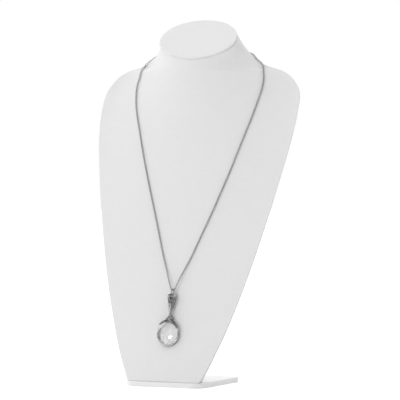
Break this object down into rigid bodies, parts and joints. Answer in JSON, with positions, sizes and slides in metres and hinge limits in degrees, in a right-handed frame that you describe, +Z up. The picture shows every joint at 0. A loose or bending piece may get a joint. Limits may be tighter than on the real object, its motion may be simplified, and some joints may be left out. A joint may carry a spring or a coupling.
{
  "type": "magnifier pendant necklace on neck bust",
  "caption": "Long fine-chain necklace with a round magnifying glass pendant on an ornate tapered handle, hung on a plain leaning neck bust.",
  "frame": {"origin": "centre of the bounding box at its base, where the base plate rests", "axes": "+Z up, -Y the way the bust faces, +X to the viewer's right from the front"},
  "size_m": [0.255, 0.1348, 0.4236],
  "materials": {
    "linen": "matte fine linen weave",
    "plate_lacquer": "satin white lacquer",
    "chain_metal": "polished, slightly tarnished silver tone",
    "frame_metal": "antiqued silver tone with dark recesses",
    "lens_glass": "clear polished"
  },
  "bodies": {
    "stand": {"neck_bust": "linen", "base_plate": "plate_lacquer", "chain": "chain_metal", "clasp": "chain_metal"},
    "ring": {"jump_ring": "chain_metal"},
    "pendant": {"magnifier_frame": "frame_metal", "lens": "lens_glass"}
  },
  "joints": [
    {"name": "ring_swing", "type": "hinge", "parent": "stand", "child": "ring", "pos_m": [0.0023, -0.04183, 0.10985], "axis": [-1, 0, 0], "range_deg": [0, 80]},
    {"name": "pendant_sway", "type": "hinge", "parent": "ring", "child": "pendant", "pos_m": [0.0023, -0.04318, 0.10488], "axis": [0, -0.974, 0.2265], "range_deg": [-25, 25]}
  ]
}
